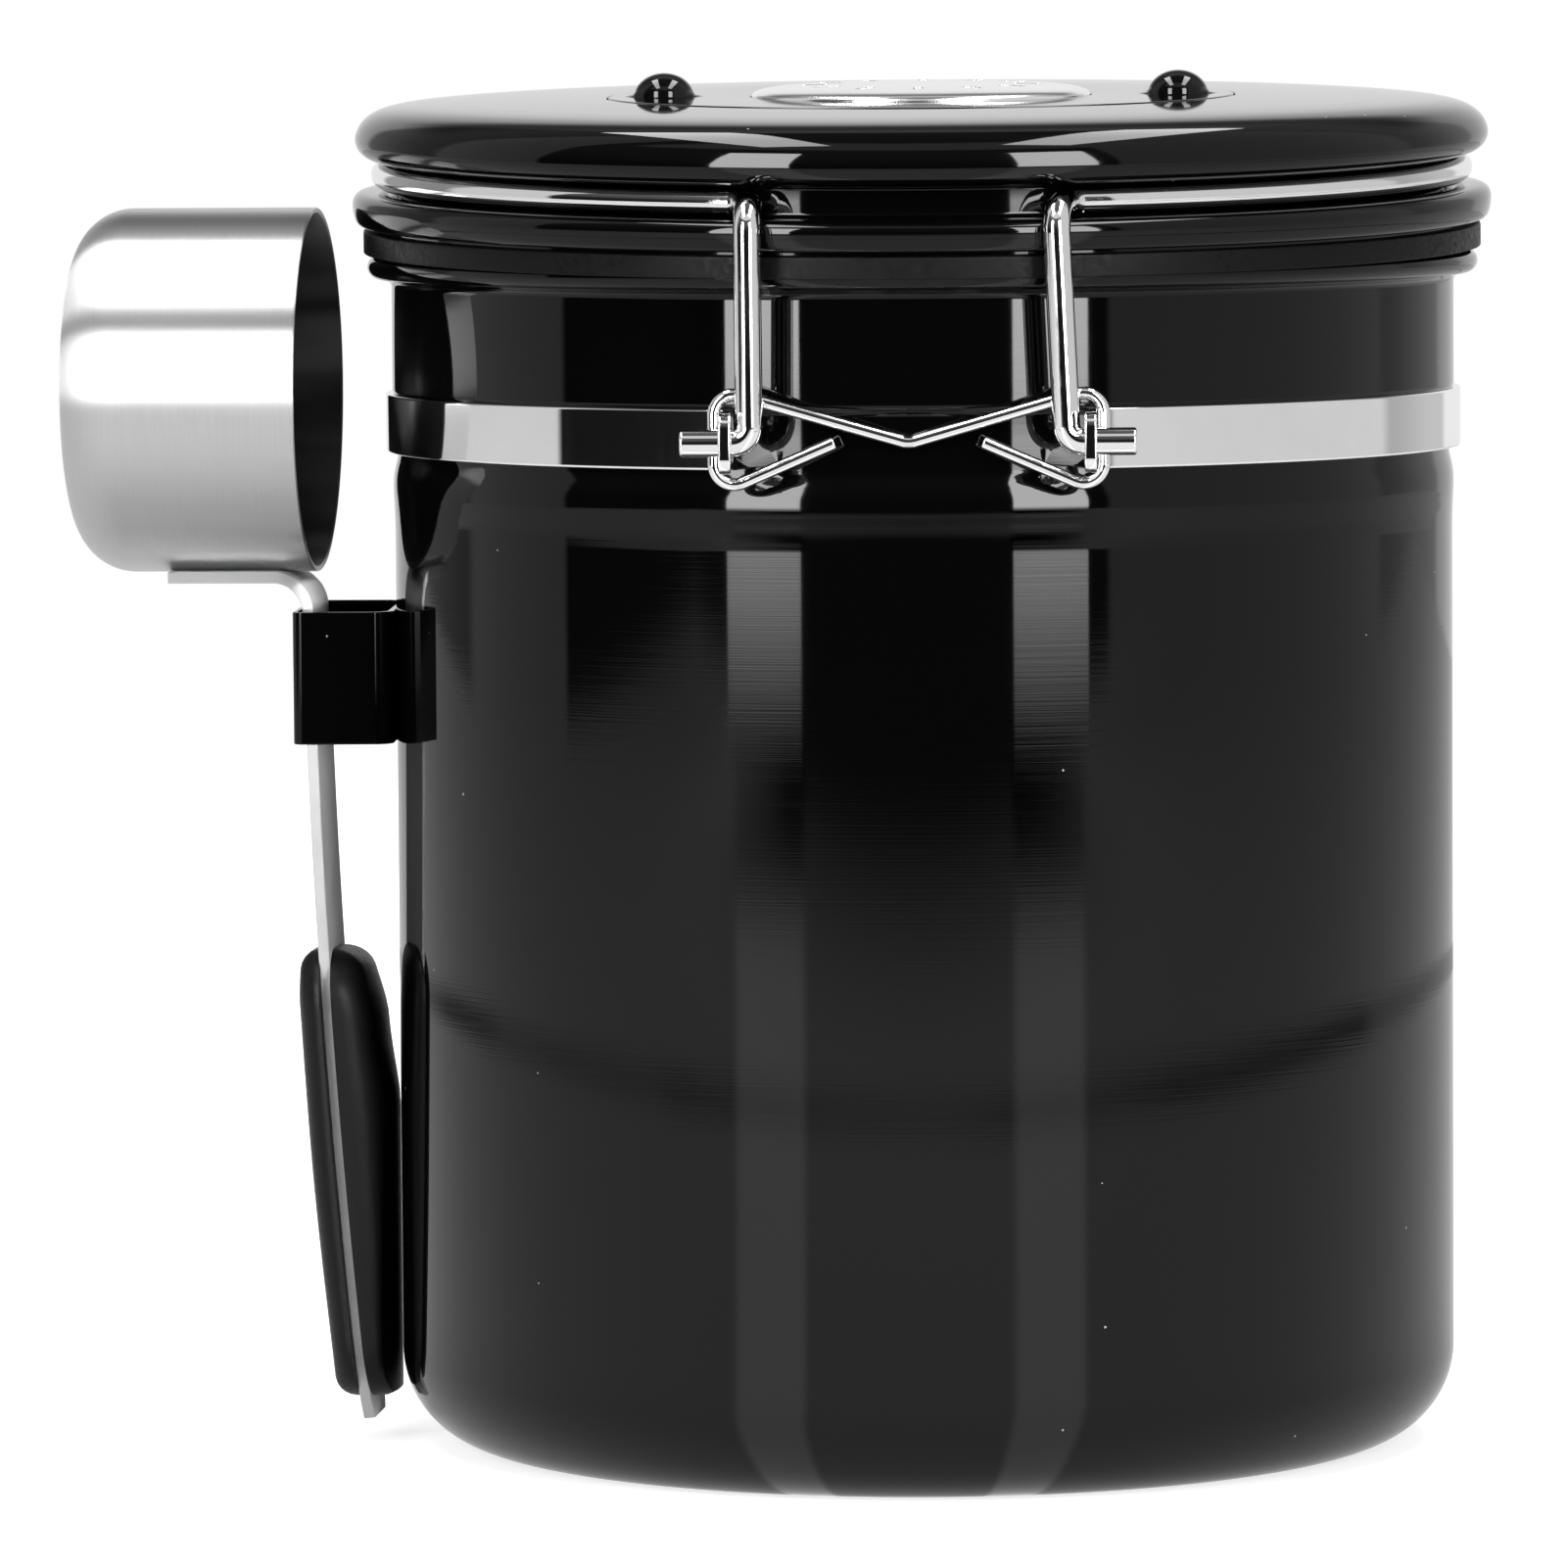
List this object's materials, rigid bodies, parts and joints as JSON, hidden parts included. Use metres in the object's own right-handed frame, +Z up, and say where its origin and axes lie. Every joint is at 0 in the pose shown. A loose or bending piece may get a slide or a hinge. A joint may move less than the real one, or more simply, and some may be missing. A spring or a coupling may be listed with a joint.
{
  "type": "coffee canister with valve",
  "caption": "Black coffee canister with a wire-hinged lid, date dial, one-way valve, latch and a hanging steel measuring scoop",
  "frame": {"origin": "centre of the base, on the plane the canister stands on", "axes": "+Z up through the lid, -Y the hinge side, +Y the latch side, -X the scoop side"},
  "size_m": [0.1614, 0.1446, 0.1557],
  "materials": {
    "black_lacquer": "glossy black lacquer",
    "polished_steel": "mirror-polished stainless steel",
    "chrome_wire": "bright plated wire",
    "brushed_steel": "brushed stainless steel",
    "black_silicone": "matte black silicone",
    "black_gloss_plastic": "glossy black plastic",
    "black_matte_plastic": "satin black plastic",
    "white_silicone": "translucent silicone"
  },
  "bodies": {
    "canister": {"can_body": "black_lacquer", "clamp_band": "polished_steel", "tension_clip": "chrome_wire", "scoop_bracket": "black_lacquer", "latch_bracket": "polished_steel"},
    "lid": {"lid_cover": "black_lacquer", "lid_liner": "black_gloss_plastic", "lid_gasket": "black_silicone", "lid_wire": "chrome_wire", "vent_disc": "polished_steel", "valve_body": "black_gloss_plastic", "valve_filter": "brushed_steel", "valve_nut": "black_gloss_plastic"},
    "dial": {"date_dial": "black_gloss_plastic"},
    "flap": {"valve_flap": "white_silicone"},
    "lever": {"latch_lever": "chrome_wire"},
    "link": {"latch_link": "chrome_wire"},
    "scoop": {"scoop_bowl": "brushed_steel", "scoop_handle": "brushed_steel", "grip_outer": "black_matte_plastic", "grip_inner": "black_matte_plastic"}
  },
  "joints": [
    {"name": "lid_hinge", "type": "hinge", "parent": "canister", "child": "lid", "pos_m": [0, -0.0646, 0.1165], "axis": [1, 0, 0], "range_deg": [0, 100]},
    {"name": "date_dial", "type": "hinge", "parent": "lid", "child": "dial", "pos_m": [0, -0.00098, 0.1516], "axis": [0, -0.0288, 0.9996], "continuous": true},
    {"name": "valve_flap", "type": "slide", "parent": "lid", "child": "flap", "axis": [0, -0.0288, 0.9996], "range_m": [0, 0.0006]},
    {"name": "latch_lever", "type": "hinge", "parent": "canister", "child": "lever", "pos_m": [0, 0.066, 0.1165], "axis": [-1, 0, 0], "range_deg": [-140, 0]},
    {"name": "latch_link", "type": "hinge", "parent": "lever", "child": "link", "pos_m": [0, 0.0649, 0.1095], "axis": [1, 0, 0], "range_deg": [0, 166]},
    {"name": "scoop_lift", "type": "slide", "parent": "canister", "child": "scoop", "axis": [-0.0401, 0.0023, 0.9992], "range_m": [0, 0.02]}
  ]
}
